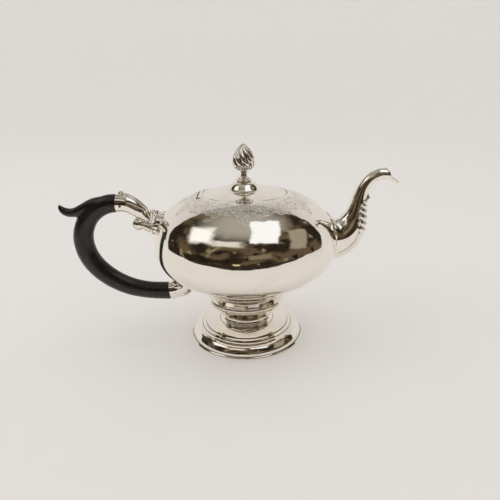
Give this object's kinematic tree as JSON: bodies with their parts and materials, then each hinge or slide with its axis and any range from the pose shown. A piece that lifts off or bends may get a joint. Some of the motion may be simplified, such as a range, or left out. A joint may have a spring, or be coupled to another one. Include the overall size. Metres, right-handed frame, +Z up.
{
  "type": "silver teapot",
  "caption": "Low round silver teapot on a moulded foot, with a swan-neck spout, a flush hinged lid with a bud finial and a dark wood C-shaped handle.",
  "frame": {"origin": "centre of the foot's flat rest ring, on the surface that the pot stands on", "axes": "+Z up; +X towards the spout, -X towards the handle; the pot is symmetric about the XZ plane"},
  "size_m": [0.2542, 0.138, 0.1515],
  "materials": {
    "silver": "polished silver",
    "dark_wood": "oiled ebony, satin"
  },
  "bodies": {
    "pot": {"body_shell": "silver", "lid_ledge": "silver", "foot_cup": "silver", "foot_girdle": "silver", "foot_stem": "silver", "foot_dome": "silver", "foot_rim": "silver", "spout_near_half": "silver", "spout_far_half": "silver", "spout_flange": "silver", "handle_grip": "dark_wood", "upper_socket": "silver", "upper_neck": "silver", "upper_shell_plate": "silver", "lower_socket": "silver", "upper_rivet": "silver", "lower_rivet": "silver", "hinge_body_leaf": "silver", "hinge_pin": "silver"},
    "lid": {"hinge_lid_leaf": "silver", "lid_plate": "silver", "lid_bezel": "silver", "lid_dome": "silver", "finial_collar": "silver", "finial_bud": "silver", "finial_bolt": "silver", "finial_washer": "silver", "finial_nut": "silver"}
  },
  "joints": [
    {"name": "lid_hinge", "type": "hinge", "parent": "pot", "child": "lid", "pos_m": [-0.0325, 0, 0.11402], "axis": [0, -1, 0], "range_deg": [0, 100]}
  ]
}
